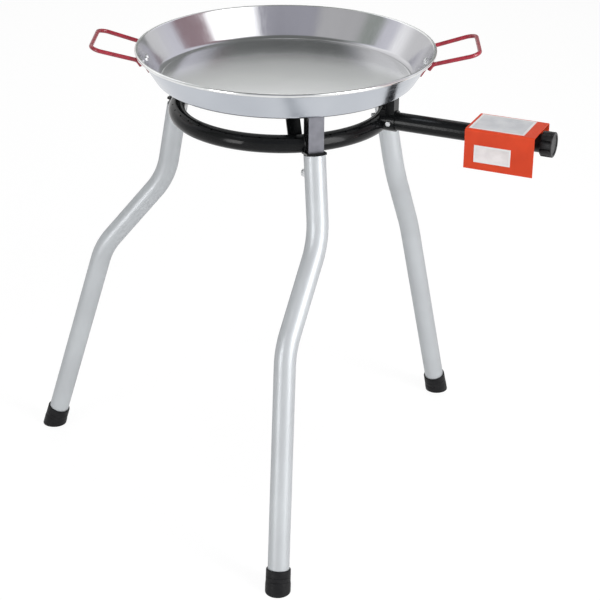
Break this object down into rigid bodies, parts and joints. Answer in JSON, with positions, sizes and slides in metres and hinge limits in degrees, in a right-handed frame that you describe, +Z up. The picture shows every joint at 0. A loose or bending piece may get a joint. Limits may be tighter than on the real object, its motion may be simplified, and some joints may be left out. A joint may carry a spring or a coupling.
{
  "type": "paella burner",
  "caption": "Gas ring burner on bent tube legs with a gas arm, sheet-covered tap and knob, carrying a wide shallow two-handled pan.",
  "frame": {"origin": "on the floor under the ring's axis", "axes": "+Z up, +X along the gas arm from the ring to the knob"},
  "size_m": [0.7474, 0.6344, 0.6334],
  "materials": {
    "enamel": "gloss",
    "zinc": "satin",
    "brass": "satin",
    "knob_plastic": "satin",
    "cover_paint": "satin",
    "label": "satin",
    "pan_steel": "polished",
    "handle_paint": "gloss",
    "leg_paint": "satin",
    "cap_rubber": "matte"
  },
  "bodies": {
    "stand": {"burner_ring": "enamel", "arm_socket": "enamel", "mixer_arm": "enamel", "arm_screws": "zinc", "arm_post": "enamel", "bracket_rear": "enamel", "bracket_front": "enamel", "bracket_back": "enamel", "base_plate_rear": "enamel", "base_plate_front": "enamel", "base_plate_back": "enamel", "spigot_rear": "enamel", "spigot_front": "enamel", "spigot_back": "enamel", "pan_rest_rear": "enamel", "pan_rest_front": "enamel", "pan_rest_back": "enamel", "injector": "brass", "tap_body": "brass", "tap_gland": "brass", "hose_tail": "brass", "cover": "cover_paint", "cover_saddle_inner": "enamel", "cover_saddle_outer": "enamel", "cover_screws": "zinc", "top_label": "label", "side_label": "label"},
    "tap_control": {"tap_spindle": "zinc", "control_knob": "knob_plastic"},
    "pan_set": {"pan": "pan_steel", "handle_left": "handle_paint", "handle_right": "handle_paint", "handle_plate_left": "handle_paint", "handle_plate_right": "handle_paint", "rivets_left": "pan_steel", "rivets_right": "pan_steel"},
    "rear_leg": {"leg_rear": "leg_paint", "clamp_nut_rear": "zinc", "foot_cap_rear": "cap_rubber"},
    "rear_screw": {"thumbscrew_rear": "zinc"},
    "front_leg": {"leg_front": "leg_paint", "clamp_nut_front": "zinc", "foot_cap_front": "cap_rubber"},
    "front_screw": {"thumbscrew_front": "zinc"},
    "back_leg": {"leg_back": "leg_paint", "clamp_nut_back": "zinc", "foot_cap_back": "cap_rubber"},
    "back_screw": {"thumbscrew_back": "zinc"}
  },
  "joints": [
    {"name": "knob_turn", "type": "hinge", "parent": "stand", "child": "tap_control", "pos_m": [0.35, 0, 0.5457], "axis": [1, 0, 0], "range_deg": [0, 180]},
    {"name": "pan_lift", "type": "slide", "parent": "stand", "child": "pan_set", "axis": [0, 0, 1], "range_m": [0, 0.1]},
    {"name": "rear_leg_slide", "type": "slide", "parent": "stand", "child": "rear_leg", "axis": [-0.1874, 0, -0.9823], "range_m": [-0.0075, 0.034]},
    {"name": "front_leg_slide", "type": "slide", "parent": "stand", "child": "front_leg", "axis": [0.1204, -0.1435, -0.9823], "range_m": [0, 0.04]},
    {"name": "back_leg_slide", "type": "slide", "parent": "stand", "child": "back_leg", "axis": [0.1204, 0.1435, -0.9823], "range_m": [0, 0.04]},
    {"name": "rear_thumbscrew_turn", "type": "hinge", "parent": "rear_leg", "child": "rear_screw", "pos_m": [-0.1604, 0, 0.49808], "axis": [-0.3838, 0.9205, 0.0732], "range_deg": [0, 360]},
    {"name": "front_thumbscrew_turn", "type": "hinge", "parent": "front_leg", "child": "front_screw", "pos_m": [0.10215, -0.12174, 0.50582], "axis": [-0.9452, 0.286, -0.1577], "range_deg": [0, 360]},
    {"name": "back_thumbscrew_turn", "type": "hinge", "parent": "back_leg", "child": "back_screw", "pos_m": [0.10215, 0.12174, 0.50582], "axis": [-0.9452, -0.286, -0.1577], "range_deg": [0, 360]}
  ]
}
